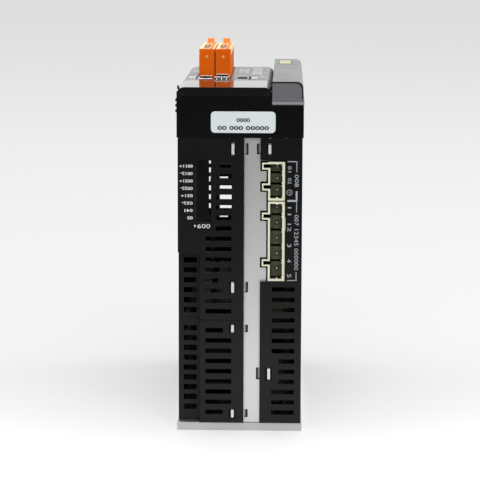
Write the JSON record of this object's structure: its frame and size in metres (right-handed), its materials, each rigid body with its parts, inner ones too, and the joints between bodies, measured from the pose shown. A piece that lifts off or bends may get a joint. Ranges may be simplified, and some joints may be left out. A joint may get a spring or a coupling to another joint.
{
  "type": "servo drive",
  "caption": "Narrow book-style servo drive with clip-on plastic shells, finned back plate, end connectors, pull-off terminal plugs and a flip cover over its keys.",
  "frame": {"origin": "middle of the outer face of the back plate, which the drive stands on here", "axes": "+Z out of the drive's front panel, -Y towards its upper end with the mains connectors, +X to the right of someone facing that end"},
  "size_m": [0.0618, 0.1699, 0.1845],
  "materials": {
    "black_plastic": "fine moulded texture",
    "gloss_black": "polished",
    "overlay_grey": "satin printed film",
    "grey_plastic": "satin moulded",
    "orange_plastic": "satin moulded",
    "cream_plastic": "satin moulded nylon",
    "component_black": "matte",
    "component_brown": "varnished",
    "white_label": "satin film",
    "white_plastic": "satin moulded",
    "warm_lens": "frosted lens",
    "red_lens": "clear lens",
    "circuit_board": "solder mask",
    "sheet_steel": "zinc plated sheet",
    "bright_steel": "nickel plated",
    "aluminium": "as extruded"
  },
  "bodies": {
    "housing": {"left_shell_front": "black_plastic", "left_shell_rear": "black_plastic", "right_shell": "black_plastic", "front_bezel": "black_plastic", "option_blank": "black_plastic", "front_panel": "overlay_grey", "side_cover": "grey_plastic", "side_cover_cap": "grey_plastic", "side_cover_gasket": "component_black", "control_header": "component_black", "display_module": "component_black", "power_module": "component_black", "inrush_relay": "component_black", "fan_frame": "component_black", "bus_capacitor_1": "component_black", "bus_capacitor_2": "component_black", "bus_capacitor_3": "component_black", "dc_header": "cream_plastic", "mains_header": "cream_plastic", "motor_header": "cream_plastic", "upper_end_wall": "sheet_steel", "lower_end_wall": "sheet_steel", "heat_sink": "aluminium", "ground_screw_1": "bright_steel", "ground_screw_2": "bright_steel", "encoder_socket": "bright_steel", "network_jack_1": "bright_steel", "network_jack_2": "bright_steel", "service_port": "bright_steel", "board_post_1": "bright_steel", "board_post_2": "bright_steel", "board_post_3": "bright_steel", "board_post_4": "bright_steel", "front_board": "circuit_board", "control_board": "circuit_board", "power_board": "circuit_board", "line_choke": "component_brown", "supply_transformer": "component_brown", "film_capacitor": "component_brown", "rating_label": "white_label", "status_window": "warm_lens", "charge_lamp": "red_lens"},
    "cover": {"flip_cover": "gloss_black"},
    "fan": {"fan_rotor": "component_black"},
    "key_1_body": {"key_1": "white_plastic"},
    "key_2_body": {"key_2": "white_plastic"},
    "key_3_body": {"key_3": "white_plastic"},
    "key_4_body": {"key_4": "white_plastic"},
    "key_5_body": {"key_5": "white_plastic"},
    "dial_1_body": {"address_dial_1": "white_plastic"},
    "plug_1_body": {"control_plug_1": "orange_plastic"},
    "lever_1_body": {"plug_lever_1": "orange_plastic"},
    "dial_2_body": {"address_dial_2": "white_plastic"},
    "plug_2_body": {"control_plug_2": "orange_plastic"},
    "lever_2_body": {"plug_lever_2": "orange_plastic"}
  },
  "joints": [
    {"name": "flip_cover_hinge", "type": "hinge", "parent": "housing", "child": "cover", "pos_m": [-0.0077, -0.0834, 0.1654], "axis": [1, 0, 0], "range_deg": [0, 110]},
    {"name": "fan_spin", "type": "hinge", "parent": "housing", "child": "fan", "pos_m": [-0.0081, 0.0746, 0.0258], "axis": [0, 1, 0], "continuous": true},
    {"name": "key_1_press", "type": "slide", "parent": "housing", "child": "key_1_body", "axis": [0, 0, 1], "range_m": [-0.0008, 0], "stiffness_N_per_m": 300},
    {"name": "key_2_press", "type": "slide", "parent": "housing", "child": "key_2_body", "axis": [0, 0, 1], "range_m": [-0.0008, 0], "stiffness_N_per_m": 300},
    {"name": "key_3_press", "type": "slide", "parent": "housing", "child": "key_3_body", "axis": [0, 0, 1], "range_m": [-0.0008, 0], "stiffness_N_per_m": 300},
    {"name": "key_4_press", "type": "slide", "parent": "housing", "child": "key_4_body", "axis": [0, 0, 1], "range_m": [-0.0008, 0], "stiffness_N_per_m": 300},
    {"name": "key_5_press", "type": "slide", "parent": "housing", "child": "key_5_body", "axis": [0, 0, 1], "range_m": [-0.0008, 0], "stiffness_N_per_m": 300},
    {"name": "dial_1_turn", "type": "hinge", "parent": "housing", "child": "dial_1_body", "pos_m": [0.0086, -0.0723, 0.1603], "axis": [0, 0, 1], "continuous": true},
    {"name": "dial_2_turn", "type": "hinge", "parent": "housing", "child": "dial_2_body", "pos_m": [0.0086, -0.0603, 0.1603], "axis": [0, 0, 1], "continuous": true},
    {"name": "plug_1_pull", "type": "slide", "parent": "housing", "child": "plug_1_body", "axis": [0, 0, 1], "range_m": [0, 0.016]},
    {"name": "lever_1_release", "type": "hinge", "parent": "plug_1_body", "child": "lever_1_body", "pos_m": [-0.01905, 0.0535, 0.1653], "axis": [1, 0, 0], "range_deg": [-12, 0], "stiffness_Nm_per_rad": 0.02},
    {"name": "plug_2_pull", "type": "slide", "parent": "housing", "child": "plug_2_body", "axis": [0, 0, 1], "range_m": [0, 0.016]},
    {"name": "lever_2_release", "type": "hinge", "parent": "plug_2_body", "child": "lever_2_body", "pos_m": [-0.0106, 0.0535, 0.1653], "axis": [1, 0, 0], "range_deg": [-12, 0], "stiffness_Nm_per_rad": 0.02}
  ]
}
